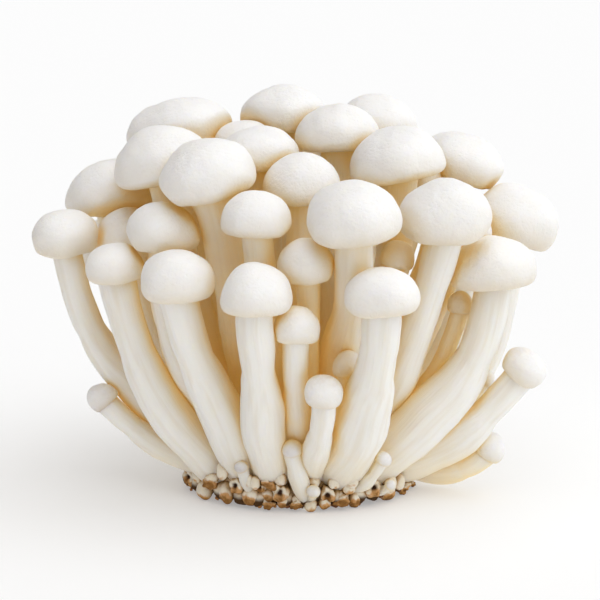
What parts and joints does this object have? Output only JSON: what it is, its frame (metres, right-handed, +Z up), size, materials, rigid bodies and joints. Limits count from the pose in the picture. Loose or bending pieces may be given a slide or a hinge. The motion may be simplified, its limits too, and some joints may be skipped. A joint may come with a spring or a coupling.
{
  "type": "white beech mushroom cluster",
  "caption": "Grown cluster of white beech mushrooms: round smooth caps on curved stems that fan out from one white butt with a thin brown crust, standing upright on its own.",
  "frame": {"origin": "middle of the flat underside of the brown crust that the cluster stands on", "axes": "+Z up, -Y towards the side seen in the picture, +X to the right of that view"},
  "size_m": [0.1091, 0.1032, 0.0839],
  "materials": {
    "mushroom_flesh": "fresh white mushroom flesh, matt to satin, slightly see-through, golden in the hollows",
    "mycelium": "firm white mycelium in rounded lobes, matt, with orange-brown tips",
    "substrate": "damp brown growing medium of sawdust and bran, coarse grains"
  },
  "bodies": {
    "root": {"mushroom_back_1": "mushroom_flesh", "mushroom_back_10": "mushroom_flesh", "mushroom_back_11": "mushroom_flesh", "mushroom_back_12": "mushroom_flesh", "mushroom_back_2": "mushroom_flesh", "mushroom_back_3": "mushroom_flesh", "mushroom_back_4": "mushroom_flesh", "mushroom_back_5": "mushroom_flesh", "mushroom_back_6": "mushroom_flesh", "mushroom_back_7": "mushroom_flesh", "mushroom_back_8": "mushroom_flesh", "mushroom_back_9": "mushroom_flesh", "mushroom_crown_1": "mushroom_flesh", "mushroom_crown_10": "mushroom_flesh", "mushroom_crown_11": "mushroom_flesh", "mushroom_crown_2": "mushroom_flesh", "mushroom_crown_3": "mushroom_flesh", "mushroom_crown_4": "mushroom_flesh", "mushroom_crown_5": "mushroom_flesh", "mushroom_crown_6": "mushroom_flesh", "mushroom_crown_7": "mushroom_flesh", "mushroom_crown_8": "mushroom_flesh", "mushroom_crown_9": "mushroom_flesh", "mushroom_front_1": "mushroom_flesh", "mushroom_front_2": "mushroom_flesh", "mushroom_front_3": "mushroom_flesh", "mushroom_front_4": "mushroom_flesh", "mushroom_front_5": "mushroom_flesh", "mushroom_front_6": "mushroom_flesh", "mushroom_front_7": "mushroom_flesh", "mushroom_inner_1": "mushroom_flesh", "mushroom_inner_2": "mushroom_flesh", "mushroom_inner_3": "mushroom_flesh", "mushroom_inner_4": "mushroom_flesh", "mushroom_inner_5": "mushroom_flesh", "mushroom_middle_1": "mushroom_flesh", "mushroom_middle_2": "mushroom_flesh", "mushroom_middle_3": "mushroom_flesh", "mushroom_middle_4": "mushroom_flesh", "mushroom_middle_5": "mushroom_flesh", "mushroom_middle_6": "mushroom_flesh", "mushroom_middle_7": "mushroom_flesh", "mushroom_young_1": "mushroom_flesh", "mushroom_young_2": "mushroom_flesh", "mushroom_young_3": "mushroom_flesh", "mushroom_young_4": "mushroom_flesh", "mushroom_young_5": "mushroom_flesh", "mushroom_young_6": "mushroom_flesh", "mushroom_young_7": "mushroom_flesh", "mushroom_young_8": "mushroom_flesh", "mushroom_young_9": "mushroom_flesh", "mycelium_butt": "mycelium", "substrate_crust": "substrate"}
  },
  "joints": []
}
